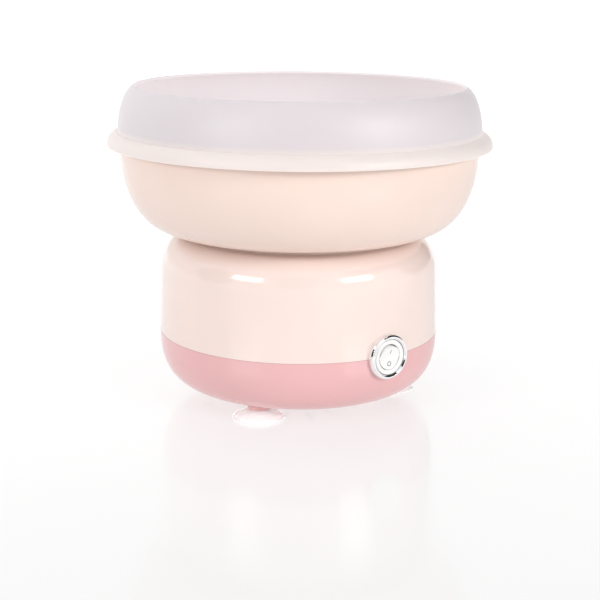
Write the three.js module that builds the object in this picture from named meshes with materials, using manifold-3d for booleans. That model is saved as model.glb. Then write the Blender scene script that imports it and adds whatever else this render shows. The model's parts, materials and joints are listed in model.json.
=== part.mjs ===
// A household candy floss maker: a round two-part housing on three suction feet, a motor that spins a
// sugar head over a ring heater, a lift-off catch bowl, and a translucent splash guard on the bowl's rim.
// Millimetres, +Z up. The origin is on the table, on the machine's axis; the switch faces -Y.
// Angles round the machine are in degrees from the front (-Y), growing towards +X.
import * as THREE from "three";
import { mergeVertices } from "three/addons/utils/BufferGeometryUtils.js";
import Module from "manifold-3d";

const wasm = await Module();
wasm.setup();

// ---------- driving dimensions ----------
const GAP = 0.3; // clearance between neighbouring pieces
const WALL = 2.4; // moulded wall
const FINE = 36; // facets round a large shell
const MEDIUM = 20; // facets round a hand-sized piece
const COARSE = 8; // facets round a screw or a pin

// Lower housing: a shallow cup whose side rolls under to a flat floor.
const SEAM_Z = 49.3;
const SEAM_RADIUS = 99.9;
const FLOOR_Z = 8.8;
const FLOOR_RADIUS = 62;
const LOWER_FULLNESS = 2.6; // exponent of the side's superellipse
const FLOOR_TOP = FLOOR_Z + WALL;

// Upper housing: a drafted wall, a round shoulder, and a neck that carries the bowl.
const SHOULDER_RADIUS = 98.4;
const SHOULDER_Z = 94.7;
const NECK_RADIUS = 79;
const NECK_Z = 118.2;
const SHOULDER_FULLNESS = 2.1; // exponent of the shoulder's superellipse
const DECK_Z = 121.7;
const DECK_UNDERSIDE = DECK_Z - WALL;
const WELL_RADIUS = 47.5;

// Bowl and splash guard.
const BOWL_BASE_RADIUS = 82.9;
const BOWL_BASE_Z = 122;
const BOWL_RIM_RADIUS = 126.4;
const BOWL_RIM_Z = 189.9;
const BOWL_FULLNESS = 2.45;
const BOWL_WALL = 2.2;
const BOWL_HOLE_RADIUS = 44;
const GUARD_WALL = 1.8;
const GUARD_MOUTH_RADIUS = 114.2;
const GUARD_TOP_Z = 223.7;
const GUARD_FOOT_RADIUS = 127.6;
const GUARD_FOOT_Z = 190.2;
const FLANGE_RADIUS = 135.2;
const FLANGE_Z = 182.4;

// Pieces that repeat round the axis.
const FOOT_ANGLES = [60, 180, 300];
const FOOT_NAMES = ["right", "back", "left"];
const FOOT_CIRCLE = 68;
const POST_FOOT_Z = 6.4; // underside of the posts that the suction cups hang from
const PILLAR_ANGLES = [0, 120, 240];
const PILLAR_CIRCLE = 66;
const DAMPER_ANGLES = [60, 180, 300];
const DAMPER_CIRCLE = 60;
const TRAY_SCREW_ANGLES = [30, 150, 270];
const TRAY_SCREW_CIRCLE = 51;
const VENT_COUNT = 12;

// Switch, on the seam at the front; and cable inlet, low at the back.
const SWITCH_HOLE_RADIUS = 11.3;
const ROCKER_TILT = 9; // degrees from level, the lower half pressed in
const PIVOT_DEPTH = 1.1; // the rocker's pivot, ahead of the housing's surface
const INLET_Z = 38;
const INLET_HOLE_RADIUS = 6.2;

// Motor and shaft.
const SHAFT_RADIUS = 3;
const SHAFT_BORE = SHAFT_RADIUS + GAP;
const CAN_RADIUS = 18.5;
const CAN_BASE_Z = 34;
const CAN_TOP_Z = 86;
const BRACKET_Z = CAN_TOP_Z + GAP;
const BRACKET_THICKNESS = 1.6;
const POLE_COUNT = 5;

// Heater and floss head.
const TRAY_FLOOR_Z = 105;
const ELEMENT_RADIUS = 27;
const ELEMENT_TUBE = 3;
const ELEMENT_Z = 113.2;
const HEAD_RADIUS = 34.2;
const HEAD_FLOOR_Z = 120.5;
const HEAD_FLOOR_TOP = HEAD_FLOOR_Z + 1; // the slotted band stands on the dish's flat floor here
const DRIVE_PIN_Z = 117.4;
const HEAD_SLOT_COUNT = 16;
const HEAD_FACETS = 24;

// ---------- materials ----------
const finish = (color, roughness, metalness, extra = {}) =>
  new THREE.MeshStandardMaterial({ color, roughness, metalness, ...extra });
const MILKY = finish(0xe9e1e5, 0.45, 0, { transparent: true, opacity: 0.75 });
const BOWL_PEACH = finish(0xf6dfd3, 0.2, 0);
const PEACH = finish(0xf9e2d9, 0.18, 0);
const PINK = finish(0xedb8bc, 0.22, 0);
const CHROME = finish(0xe8e8ea, 0.08, 1);
const WHITE = finish(0xf5f4f1, 0.28, 0);
const CLEAR_RUBBER = finish(0xebe6e4, 0.3, 0, { transparent: true, opacity: 0.6 });
const ALUMINIUM = finish(0xcfd0d2, 0.3, 1);
const STEEL = finish(0x9a9ca0, 0.35, 1);
const BRASS = finish(0xc9a45a, 0.3, 1);
const COPPER = finish(0xb87445, 0.35, 1);
const IRON = finish(0x4a4a4e, 0.6, 0.6);
const BLACK_RUBBER = finish(0x2a2a2c, 0.75, 0);
const CERAMIC = finish(0xf0eee6, 0.5, 0);
const BOARD_GREEN = finish(0x3e6b4a, 0.5, 0);
const BLACK_PLASTIC = finish(0x2b2b2d, 0.45, 0);
const SLEEVING = finish(0xc9c4bc, 0.6, 0);

// ---------- solids ----------
// A closed geometry as a manifold solid, with degenerate triangles dropped.
function solid(geometry) {
  const bare = geometry.clone();
  bare.deleteAttribute("normal");
  bare.deleteAttribute("uv");
  const merged = mergeVertices(bare, 1e-3);
  const kept = [];
  for (let i = 0; i < merged.index.count; i += 3) {
    const [a, b, c] = [0, 1, 2].map((k) => merged.index.getX(i + k));
    if (a !== b && b !== c && c !== a) kept.push(a, b, c);
  }
  const vertProperties = merged.attributes.position.array;
  return new wasm.Manifold(new wasm.Mesh({ numProp: 3, vertProperties, triVerts: new Uint32Array(kept) }));
}

// A manifold solid as a geometry with flat-shaded faces.
function geometryOf(body) {
  const mesh = body.getMesh();
  const geometry = new THREE.BufferGeometry();
  geometry.setAttribute("position", new THREE.BufferAttribute(mesh.vertProperties, 3));
  geometry.setIndex(new THREE.BufferAttribute(mesh.triVerts, 1));
  const flat = geometry.toNonIndexed();
  flat.computeVertexNormals();
  return flat;
}

// body with every shape in joined added and every shape in removed cut away.
function combine(body, joined, removed = []) {
  let made = solid(body);
  for (const shape of joined) made = made.add(solid(shape));
  for (const shape of removed) made = made.subtract(solid(shape));
  return geometryOf(made);
}

// A closed [radius, z] outline turned about +Z. It is reversed where needed, so its faces point out.
function lathe(outline, facets) {
  const twiceArea = outline.reduce((sum, [r, z], i) => {
    const [nextR, nextZ] = outline[(i + 1) % outline.length];
    return sum + r * nextZ - nextR * z;
  }, 0);
  const ordered = twiceArea > 0 ? outline : [...outline].reverse();
  const onAxis = ordered.findIndex(([r], i) => r === 0 && ordered.at(i - 1)[0] === 0);
  const fromAxis = [...ordered.slice(onAxis), ...ordered.slice(0, onAxis)];
  const points = onAxis < 0 ? [...ordered, ordered[0]] : fromAxis;
  const turned = new THREE.LatheGeometry(points.map(([r, z]) => new THREE.Vector2(r, z)), facets);
  return turned.rotateX(Math.PI / 2);
}

// A quarter superellipse from (r1, z1), where it runs along Z, to (r0, z0), where it runs along R.
function quarter(r0, z0, r1, z1, fullness, steps) {
  return Array.from({ length: steps + 1 }, (_, i) => {
    const angle = ((i / steps) * Math.PI) / 2;
    const along = Math.cos(angle) ** (2 / fullness);
    const rise = Math.sin(angle) ** (2 / fullness);
    return [r0 + (r1 - r0) * along, z1 + (z0 - z1) * rise];
  });
}

const polar = (radius, degrees) => {
  const angle = THREE.MathUtils.degToRad(degrees);
  return [radius * Math.sin(angle), -radius * Math.cos(angle)];
};

// A cylinder along Z, standing at [x, y].
function post([x, y], radius, z0, z1, facets = COARSE) {
  const shape = new THREE.CylinderGeometry(radius, radius, z1 - z0, facets);
  return shape.rotateX(Math.PI / 2).translate(x, y, (z0 + z1) / 2);
}

// A cylinder along Y, at [x, z].
function bar([x, z], radius, y0, y1, facets = COARSE) {
  return new THREE.CylinderGeometry(radius, radius, y1 - y0, facets).translate(x, (y0 + y1) / 2, z);
}

// A cylinder along X, at [y, z].
function pin([y, z], radius, x0, x1, facets = COARSE) {
  const shape = new THREE.CylinderGeometry(radius, radius, x1 - x0, facets);
  return shape.rotateZ(Math.PI / 2).translate((x0 + x1) / 2, y, z);
}

function box([x0, y0, z0], [x1, y1, z1]) {
  const shape = new THREE.BoxGeometry(x1 - x0, y1 - y0, z1 - z0);
  return shape.translate((x0 + x1) / 2, (y0 + y1) / 2, (z0 + z1) / 2);
}

const ring = (inner, outer, z0, z1, facets) =>
  lathe([[inner, z0], [outer, z0], [outer, z1], [inner, z1]], facets);

// A round rod along a smooth curve through the points.
function rod(points, radius, sides, steps) {
  const path = new THREE.CatmullRomCurve3(points.map((p) => new THREE.Vector3(...p)));
  const section = new THREE.Shape();
  for (let i = 0; i < sides; i++) {
    const angle = (i / sides) * 2 * Math.PI;
    section[i ? "lineTo" : "moveTo"](radius * Math.cos(angle), radius * Math.sin(angle));
  }
  return new THREE.ExtrudeGeometry(section, { extrudePath: path, steps, bevelEnabled: false });
}

// A pan-head screw pointing up +Z, its head's top face at z = 0 and its shank above.
function screw(headRadius, headHeight, shankRadius, length) {
  const outline = [
    [0, 0], [headRadius * 0.8, 0], [headRadius, headHeight * 0.4], [headRadius, headHeight],
    [shankRadius, headHeight], [shankRadius, length - shankRadius], [0, length],
  ];
  return lathe(outline, COARSE);
}

// ---------- shells ----------
const lowerSide = () => quarter(FLOOR_RADIUS, FLOOR_Z, SEAM_RADIUS, SEAM_Z - GAP / 2, LOWER_FULLNESS, 6);

function lowerHousing() {
  const lipOuter = SEAM_RADIUS - 3;
  const lipInner = lipOuter - 1.7;
  const lipTop = SEAM_Z + 4;
  const inside = quarter(FLOOR_RADIUS - 1.5, FLOOR_TOP, SEAM_RADIUS - 2.6, SEAM_Z - 7, LOWER_FULLNESS, 4);
  const shell = lathe([
    [0, FLOOR_TOP], ...inside.reverse(),
    [lipInner, SEAM_Z - 4], [lipInner, lipTop], [lipOuter, lipTop], [lipOuter, SEAM_Z - GAP / 2],
    ...lowerSide(), [0, FLOOR_Z],
  ], FINE);
  const feet = FOOT_ANGLES.map((a) => polar(FOOT_CIRCLE, a));
  const pillars = PILLAR_ANGLES.map((a) => polar(PILLAR_CIRCLE, a));
  const joined = [
    ...feet.map((at) => post(at, 8, POST_FOOT_Z, FLOOR_TOP + 1, 16)),
    ...pillars.map((at) => post(at, 6.6, FLOOR_Z + 1, 20)),
    ...pillars.map((at) => post(at, 4.4, FLOOR_Z + 1, SEAM_Z)),
    ...[-56, -36].map((x) => post([x, 0], 3, FLOOR_Z + 1, 21.4)),
  ];
  const vents = Array.from({ length: VENT_COUNT }, (_, i) =>
    box([-1.8, 26, FLOOR_Z - 1], [1.8, 46, FLOOR_TOP + 1]).rotateZ((i / VENT_COUNT) * 2 * Math.PI + 0.13));
  const removed = [
    ...vents,
    ...feet.map((at) => post(at, 4.2, 4, FLOOR_TOP + 2)),
    ...pillars.map((at) => post(at, 4.3, FLOOR_Z - 1, 14)),
    ...pillars.map((at) => post(at, 1.9, FLOOR_Z - 1, SEAM_Z + 1)),
    bar([0, SEAM_Z], SWITCH_HOLE_RADIUS, -SEAM_RADIUS - 10, -SEAM_RADIUS + 12, MEDIUM),
    bar([0, INLET_Z], INLET_HOLE_RADIUS, SEAM_RADIUS - 12, SEAM_RADIUS + 10, 20),
  ];
  return combine(shell, joined, removed);
}

function upperHousing() {
  const shoulder = quarter(
    NECK_RADIUS + 1.1, NECK_Z, SHOULDER_RADIUS, SHOULDER_Z, SHOULDER_FULLNESS, 6);
  const inside = quarter(
    NECK_RADIUS - 2, NECK_Z - 2, SHOULDER_RADIUS - WALL, SHOULDER_Z, SHOULDER_FULLNESS, 4);
  const shell = lathe([
    [SEAM_RADIUS - 0.1, SEAM_Z + GAP / 2], ...shoulder,
    [NECK_RADIUS, NECK_Z + 1], [NECK_RADIUS, DECK_Z - 0.8], [NECK_RADIUS - 0.8, DECK_Z],
    [WELL_RADIUS, DECK_Z], [WELL_RADIUS, DECK_UNDERSIDE], [NECK_RADIUS - WALL, DECK_UNDERSIDE],
    ...inside.reverse(), [SEAM_RADIUS - 0.1 - WALL, SEAM_Z + GAP / 2],
  ], FINE);
  const pillars = PILLAR_ANGLES.map((a) => polar(PILLAR_CIRCLE, a));
  const dampers = DAMPER_ANGLES.map((a) => polar(DAMPER_CIRCLE, a));
  const trayScrews = TRAY_SCREW_ANGLES.map((a) => polar(TRAY_SCREW_CIRCLE, a));
  const joined = [
    ...pillars.map((at) => post(at, 4.4, SEAM_Z + 0.7, DECK_Z - 1)),
    ...dampers.map((at) => post(at, 4, 92.4, DECK_Z - 1)),
    ...trayScrews.map((at) => post(at, 3.2, 110, DECK_Z - 1)),
  ];
  const removed = [
    ...pillars.map((at) => post(at, 1.9, SEAM_Z, 70)),
    ...dampers.map((at) => post(at, 1.5, 92, 108)),
    ...trayScrews.map((at) => post(at, 1.5, 111, DECK_Z + 1)),
    bar([0, SEAM_Z], SWITCH_HOLE_RADIUS, -SEAM_RADIUS - 10, -SEAM_RADIUS + 12, MEDIUM),
  ];
  return combine(shell, joined, removed);
}

function bowl() {
  const floorTop = BOWL_BASE_Z + 2.3;
  const raised = BOWL_BASE_Z + 2.6;
  const collarTop = 130;
  const outside = quarter(BOWL_BASE_RADIUS, BOWL_BASE_Z, BOWL_RIM_RADIUS, BOWL_RIM_Z, BOWL_FULLNESS, 7);
  const inside = quarter(
    BOWL_BASE_RADIUS - 1.4, floorTop, BOWL_RIM_RADIUS - BOWL_WALL, BOWL_RIM_Z, BOWL_FULLNESS, 6);
  const rimTop = quarter(BOWL_RIM_RADIUS - 1.6, 189, BOWL_RIM_RADIUS + 6, 183.4, 2, 3);
  const rimUnder = quarter(BOWL_RIM_RADIUS - 1.4, 186.9, BOWL_RIM_RADIUS + 4, 183.4, 2, 2);
  return lathe([
    [BOWL_HOLE_RADIUS, raised], [58, raised], [60, BOWL_BASE_Z], ...outside.slice(2).reverse(),
    ...rimUnder.reverse(), ...rimTop, ...inside.slice(2),
    [62, floorTop], [60, raised + 2.2], [46.2, raised + 2.2],
    [46.2, collarTop], [BOWL_HOLE_RADIUS, collarTop],
  ], FINE);
}

function splashGuard() {
  const outside = quarter(GUARD_MOUTH_RADIUS, GUARD_TOP_Z, GUARD_FOOT_RADIUS, GUARD_FOOT_Z, 2, 5);
  const inside = quarter(
    GUARD_MOUTH_RADIUS, GUARD_TOP_Z - GUARD_WALL, GUARD_FOOT_RADIUS - GUARD_WALL, GUARD_FOOT_Z, 2, 4);
  const flange = quarter(GUARD_FOOT_RADIUS, 191.4, FLANGE_RADIUS, FLANGE_Z, 2, 4);
  const flangeInside = quarter(
    GUARD_FOOT_RADIUS - GUARD_WALL, 189.5, FLANGE_RADIUS - GUARD_WALL, FLANGE_Z, 2, 3);
  return lathe([...flange, ...outside.slice(1), ...inside.reverse(), ...flangeInside.reverse()], FINE);
}

// ---------- feet, inlet and fasteners ----------
// A suction cup with a stem that snaps through the housing floor. Its own origin is on the table.
function suctionFoot() {
  return lathe([
    [0, 4], [4, 3.7], [10, 2.4], [15.4, 0], [18.4, 0], [18.4, 1], [16.4, 2.6], [8.6, POST_FOOT_Z - GAP],
    [3.5, POST_FOOT_Z - GAP], [3.5, 12.6], [5, 13], [3.2, 15.6], [0, 15.6],
  ], 12);
}

// A flanged grommet along +Z, its outer flange's inner face at z = 0.
function cableGland() {
  return lathe([
    [3.8, -9], [7.4, -9], [7.4, -6.6], [5.8, -6], [5.8, 0], [8, 0], [8, 1.4], [6.6, 2.6], [3.8, 2.6],
  ], 16);
}

// ---------- switch ----------
// These are in the switch's own frame: +Z points out of the housing and the origin is on its surface.
function switchBezel(toSwitchFrame) {
  const outline = [[12.4, -4], [15.6, -4], [15.6, 2.4], [14.6, 3.9], [13.2, 3.9], [12.4, 3.2]];
  const envelope = lathe([
    [0, FLOOR_Z], ...lowerSide().reverse().map(([r, z]) => [r + GAP, z]),
    [SEAM_RADIUS + GAP, SEAM_Z], [SHOULDER_RADIUS + GAP, SHOULDER_Z], [0, SHOULDER_Z],
  ], FINE).applyMatrix4(toSwitchFrame);
  return combine(lathe(outline, MEDIUM), [], [envelope]);
}

function switchBody() {
  const shape = lathe([
    [0, -19.9], [10.8, -19.9], [10.8, 0.6], [12.1, 0.6], [12.1, 2.6], [11.6, 3.1],
    [8.8, 3.1], [8.8, -7.5], [0, -7.5],
  ], MEDIUM);
  return combine(shape, [], [pin([0, PIVOT_DEPTH], 1.5, -10.4, 10.4)]);
}

// The rocker about its pivot, level: a tapered drum with a shallow V across its face.
function switchRocker() {
  const drum = lathe([[0, -6], [6.4, -6], [8.2, -1.2], [8.2, 4.2], [0, 4.2]], MEDIUM);
  const rise = 9 * Math.tan(THREE.MathUtils.degToRad(ROCKER_TILT));
  const side = new THREE.Shape([[-9, -7], [9, -7], [9, 1.2 + rise], [0, 1.2], [-9, 1.2 + rise]]
    .map(([y, z]) => new THREE.Vector2(y, z)));
  const wedge = new THREE.ExtrudeGeometry(side, { depth: 20, bevelEnabled: false })
    .translate(0, 0, -10).rotateY(Math.PI / 2).rotateX(Math.PI / 2);
  return geometryOf(solid(drum).intersect(solid(wedge)).add(solid(pin([0, 0], 1.1, -9.8, 9.8))));
}

const switchTerminal = () => box([-2.4, -0.4, -27], [2.4, 0.4, -20.2]);

// ---------- motor ----------
function motorCan() {
  const can = lathe([
    [17.4, CAN_BASE_Z], [CAN_RADIUS, CAN_BASE_Z], [CAN_RADIUS, CAN_TOP_Z], [8, CAN_TOP_Z],
    [8, 90.5], [4, 90.5], [4, 89.7], [6.1, 89.7], [6.1, 84.8], [17.4, 84.8],
  ], 20);
  return combine(can, [], [-13, 13].map((y) => post([0, y], 1.7, 84, CAN_TOP_Z + 1)));
}

function motorEndCap() {
  const cap = lathe([
    [4, 29.5], [8, 29.5], [8, 31], [18.3, 31], [18.3, 33.7],
    [8, 33.7], [8, 35.8], [6.1, 35.8], [6.1, 30.4], [4, 30.4],
  ], 20);
  const holders = [-1, 1].map((s) => box([s < 0 ? -15.5 : 12.3, -3, 33], [s < 0 ? -12.3 : 15.5, 3, 43]));
  return combine(cap, holders);
}

function magnet() {
  const arc = new THREE.Shape();
  const half = Math.PI / 3;
  arc.absarc(0, 0, 16.8, -half, half, false);
  arc.absarc(0, 0, 13.8, half, -half, true);
  const shape = new THREE.ExtrudeGeometry(arc, { depth: 32, bevelEnabled: false, curveSegments: 8 });
  return shape.translate(0, 0, 48);
}

function armatureCore() {
  const outline = new THREE.Shape();
  const pitch = (2 * Math.PI) / POLE_COUNT;
  const halfPole = THREE.MathUtils.degToRad(24);
  for (let i = 0; i < POLE_COUNT; i++) {
    outline.absarc(0, 0, 13.2, i * pitch - halfPole, i * pitch + halfPole, false);
    outline.absarc(0, 0, 7, i * pitch + halfPole, (i + 1) * pitch - halfPole, false);
  }
  outline.holes.push(new THREE.Path().absarc(0, 0, SHAFT_BORE + GAP, 0, 2 * Math.PI, true));
  const shape = new THREE.ExtrudeGeometry(outline, { depth: 28, bevelEnabled: false, curveSegments: 4 });
  return shape.translate(0, 0, 50);
}

function armatureWinding() {
  const bars = Array.from({ length: POLE_COUNT }, (_, i) =>
    box([7.8, -1.2, 47], [12.2, 1.2, 81]).rotateZ(((i + 0.5) / POLE_COUNT) * 2 * Math.PI));
  return combine(ring(6, 12.2, 78.4, 83, 16), [ring(6, 12.2, 45, 49.6, 16), ...bars]);
}

function coolingFan() {
  const blades = Array.from({ length: 7 }, (_, i) =>
    box([5.5, -4, -0.6], [23, 4, 0.6]).rotateX(0.6).translate(0, 0, 95.5).rotateZ((i / 7) * 2 * Math.PI));
  return combine(ring(SHAFT_BORE, 6.5, 92.4, 98.6, 16), blades);
}

function motorBracket() {
  const top = BRACKET_Z + BRACKET_THICKNESS;
  const arms = DAMPER_ANGLES.map((a) =>
    box([-6, -DAMPER_CIRCLE, BRACKET_Z], [6, -15, top]).rotateZ(THREE.MathUtils.degToRad(a)));
  const ends = DAMPER_ANGLES.map((a) => post(polar(DAMPER_CIRCLE, a), 7.5, BRACKET_Z, top, 12));
  const holes = [
    ...DAMPER_ANGLES.map((a) => post(polar(DAMPER_CIRCLE, a), 3.6, BRACKET_Z - 1, top + 1, 12)),
    ...[-13, 13].map((y) => post([0, y], 1.7, BRACKET_Z - 1, top + 1)),
    post([0, 0], 8.5, BRACKET_Z - 1, top + 1, 16),
  ];
  return combine(post([0, 0], 21, BRACKET_Z, top, 20), [...arms, ...ends], holes);
}

// A rubber grommet with a waist that the bracket's arm sits in.
function damper() {
  return lathe([
    [1.9, 82.6], [5.5, 82.6], [5.5, CAN_TOP_Z], [3.1, CAN_TOP_Z],
    [3.1, 88.2], [5.5, 88.2], [5.5, 92.1], [1.9, 92.1],
  ], 12);
}

function driveShaft() {
  const shaft = lathe([[0, 27], [SHAFT_RADIUS, 27], [SHAFT_RADIUS, 126], [2, 127], [0, 127]], 16);
  return combine(shaft, [], [pin([0, DRIVE_PIN_Z], 1.4, -5, 5)]);
}

// ---------- heater and floss head ----------
function heaterTray() {
  const under = TRAY_FLOOR_Z - 0.9;
  const dish = lathe([
    [10, under], [40.4, under], [46, 109.2], [46.2, 122], [55, 122], [55, 122.8], [45.2, 122.8],
    [45, 109.5], [40, TRAY_FLOOR_Z], [10.8, TRAY_FLOOR_Z], [10.8, 112], [10, 112],
  ], 24);
  const legs = [164, 196].map((a) => post(polar(ELEMENT_RADIUS, a), 4.4, under - 1, TRAY_FLOOR_Z + 1));
  const screws = TRAY_SCREW_ANGLES.map((a) => post(polar(TRAY_SCREW_CIRCLE, a), 1.7, 121, 124));
  return combine(dish, [], [...legs, ...screws]);
}

// A ring heater with two legs down through the tray at the back.
function heatingElement() {
  const leg = (angle, heights) => heights.map((z) => [...polar(ELEMENT_RADIUS, angle), z]);
  const arc = [];
  for (let angle = 204; angle <= 516; angle += 24) arc.push([...polar(ELEMENT_RADIUS, angle), ELEMENT_Z]);
  const start = [...leg(196, [96, 102, 108]), ...leg(197, [112])];
  const end = [...leg(163, [112]), ...leg(164, [108, 102, 96])];
  return rod([...start, ...arc, ...end], ELEMENT_TUBE, 8, 40);
}

function headDish() {
  return lathe([
    [5.8, HEAD_FLOOR_Z], [HEAD_RADIUS, HEAD_FLOOR_Z], [HEAD_RADIUS, HEAD_FLOOR_TOP], [5.8, HEAD_FLOOR_TOP],
  ], HEAD_FACETS);
}

function headCover() {
  const band = HEAD_RADIUS - 1;
  const cover = lathe([
    [HEAD_RADIUS, HEAD_FLOOR_TOP + GAP], [HEAD_RADIUS, 138], [HEAD_RADIUS - 1.6, 139.6],
    [19, 146], [17.4, 145.4], [17, 142.6], [18, 142.6], [18.4, 144.6],
    [band - 1.4, 138.8], [band, 137.6], [band, HEAD_FLOOR_TOP + GAP],
  ], HEAD_FACETS);
  const slots = Array.from({ length: HEAD_SLOT_COUNT }, (_, i) =>
    box([30, -0.7, 125], [37, 0.7, 136.6]).rotateZ((i / HEAD_SLOT_COUNT) * 2 * Math.PI));
  return combine(cover, [], slots);
}

// The hub that the dish is riveted to, with a slot across its foot for the shaft's drive pin.
function headHub() {
  const hub = lathe([
    [SHAFT_BORE, 116.2], [9.5, 116.2], [9.5, HEAD_FLOOR_Z - GAP],
    [5.5, HEAD_FLOOR_Z - GAP], [5.5, 126], [SHAFT_BORE, 126],
  ], 16);
  return combine(hub, [], [box([-10, -1.5, 115], [10, 1.5, 118.9])]);
}

function thermostat() {
  const [x, y] = polar(34, 90);
  const blades = [-1, 1].map((s) => box([x + s * 4 - 1.5, y - 0.4, 91], [x + s * 4 + 1.5, y + 0.4, 98]));
  return combine(post([x, y], 7.6, 97.4, 103.8, 20), blades);
}

// ---------- assembly ----------
const machine = new THREE.Group();
machine.name = "candy_floss_maker";

function add(parent, name, geometry, material, position = [0, 0, 0], turn = [0, 0, 0]) {
  const mesh = new THREE.Mesh(geometry, material);
  mesh.name = name;
  mesh.position.set(...position);
  mesh.rotation.set(...turn);
  parent.add(mesh);
  return mesh;
}

// One mesh of the same geometry at each angle, named by its number.
function addRound(parent, name, geometry, material, radius, angles, z = 0, turn = [0, 0, 0]) {
  angles.forEach((angle, i) =>
    add(parent, `${name}_${i + 1}`, geometry, material, [...polar(radius, angle), z], turn));
}

function addHousing() {
  add(machine, "lower_housing", lowerHousing(), PINK);
  add(machine, "upper_housing", upperHousing(), PEACH);
  const foot = suctionFoot();
  FOOT_ANGLES.forEach((angle, i) =>
    add(machine, `suction_foot_${FOOT_NAMES[i]}`, foot, CLEAR_RUBBER, [...polar(FOOT_CIRCLE, angle), 0]));
  addRound(machine, "housing_screw", screw(3.8, 2.4, 1.6, 54), STEEL, PILLAR_CIRCLE, PILLAR_ANGLES, 11.2);
  add(machine, "cable_gland", cableGland(), BLACK_RUBBER, [0, SEAM_RADIUS + GAP, INLET_Z],
    [-Math.PI / 2, 0, 0]);
}

function addSwitch() {
  const group = new THREE.Group();
  group.position.set(0, -SEAM_RADIUS, SEAM_Z);
  group.rotation.set(Math.PI / 2, 0, 0);
  group.updateMatrix();
  machine.add(group);
  add(group, "switch_bezel", switchBezel(group.matrix.clone().invert()), CHROME);
  add(group, "switch_body", switchBody(), WHITE);
  add(group, "switch_rocker", switchRocker(), WHITE, [0, 0, PIVOT_DEPTH],
    [THREE.MathUtils.degToRad(ROCKER_TILT), 0, 0]);
  add(group, "switch_terminal_upper", switchTerminal(), BRASS, [0, 5, 0]);
  add(group, "switch_terminal_lower", switchTerminal(), BRASS, [0, -5, 0]);
}

function addMotor() {
  const half = [0, 0, Math.PI];
  add(machine, "motor_can", motorCan(), STEEL);
  add(machine, "motor_end_cap", motorEndCap(), BLACK_PLASTIC);
  add(machine, "magnet_right", magnet(), IRON);
  add(machine, "magnet_left", magnet(), IRON, [0, 0, 0], half);
  add(machine, "bearing_top", ring(SHAFT_BORE, 5.7, 85, 89.3, 16), BRASS);
  add(machine, "bearing_bottom", ring(SHAFT_BORE, 5.7, 30.8, 35.2, 16), BRASS);
  const brush = box([4.8, -1.5, 38.2], [12, 1.5, 42.2]);
  add(machine, "brush_right", brush, IRON);
  add(machine, "brush_left", brush, IRON, [0, 0, 0], half);
  add(machine, "motor_bracket", motorBracket(), STEEL);
  const down = [Math.PI, 0, 0];
  addRound(machine, "motor_screw", screw(2.8, 1.6, 1.2, 6), STEEL, 13, [0, 180], 89.8, down);
  addRound(machine, "damper", damper(), BLACK_RUBBER, DAMPER_CIRCLE, DAMPER_ANGLES);
  addRound(machine, "damper_screw", screw(3.6, 2.2, 1.2, 24), STEEL, DAMPER_CIRCLE, DAMPER_ANGLES, 80);
}

function addRotor() {
  add(machine, "drive_shaft", driveShaft(), STEEL);
  add(machine, "drive_pin", pin([0, DRIVE_PIN_Z], 1.1, -7.5, 7.5), STEEL);
  add(machine, "armature_core", armatureCore(), IRON);
  add(machine, "armature_winding", armatureWinding(), COPPER);
  add(machine, "commutator", ring(SHAFT_BORE, 4.4, 37.5, 43.5, 16), COPPER);
  add(machine, "cooling_fan", coolingFan(), BLACK_PLASTIC);
}

function addHeater() {
  add(machine, "heater_tray", heaterTray(), ALUMINIUM);
  add(machine, "heating_element", heatingElement(), STEEL);
  const insulator = post([0, 0], 3, 105.3, 109.9);
  addRound(machine, "heater_insulator", insulator, CERAMIC, ELEMENT_RADIUS, [0, 120, 240]);
  const down = [Math.PI, 0, 0];
  const trayScrew = screw(3, 1.2, 1.2, 11);
  addRound(machine, "tray_screw", trayScrew, STEEL, TRAY_SCREW_CIRCLE, TRAY_SCREW_ANGLES, 124.3, down);
  add(machine, "thermostat", thermostat(), CERAMIC);
}

function addFlossHead() {
  add(machine, "floss_head_dish", headDish(), ALUMINIUM);
  add(machine, "floss_head_cover", headCover(), ALUMINIUM);
  add(machine, "floss_head_hub", headHub(), BRASS);
}

function addElectrics() {
  add(machine, "circuit_board", box([-64, -14, 21.7], [-28, 14, 23.3]), BOARD_GREEN);
  add(machine, "rectifier", box([-42, 3, 23.6], [-30, 8, 33.6]), BLACK_PLASTIC);
  add(machine, "capacitor", post([-55, 6], 5, 23.6, 36, 16), BLACK_PLASTIC);
  const wires = {
    switch_wire: [
      [-4.2, -75, 44.3], [-14, -70, 40], [-34, -50, 30], [-45, -28, 26.5], [-47, -12, 25.2], [-47, -8, 25],
    ],
    heater_wire: [
      [-7.4, 26, 94.2], [-13, 32, 84], [-28, 34, 62], [-46, 22, 38], [-48, 10, 27], [-46, 1, 25],
    ],
    thermostat_wire: [
      [7.4, 26, 94.2], [12, 29, 91], [24, 27, 90], [30, 14, 90], [30, 3, 92], [30, 1.9, 93.2],
    ],
    motor_wire: [[-13, -5, 29.2], [-20, -7, 28], [-28, -7, 26], [-34, -7, 25]],
  };
  for (const [name, route] of Object.entries(wires)) add(machine, name, rod(route, 1.2, 6, 16), SLEEVING);
}

addHousing();
addSwitch();
addMotor();
addRotor();
addHeater();
addFlossHead();
addElectrics();
add(machine, "bowl", bowl(), BOWL_PEACH);
add(machine, "splash_guard", splashGuard(), MILKY);

export default machine;
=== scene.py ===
"""A household cotton candy maker: the looks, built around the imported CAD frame.

Lengths inside an outline are in millimetres, as in the design; everything in the scene is in metres.
Angles round the machine are in degrees from the front (-Y), growing towards +X.
"""
import json
import math

import bmesh
import bpy
from mathutils import Matrix, Vector


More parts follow.
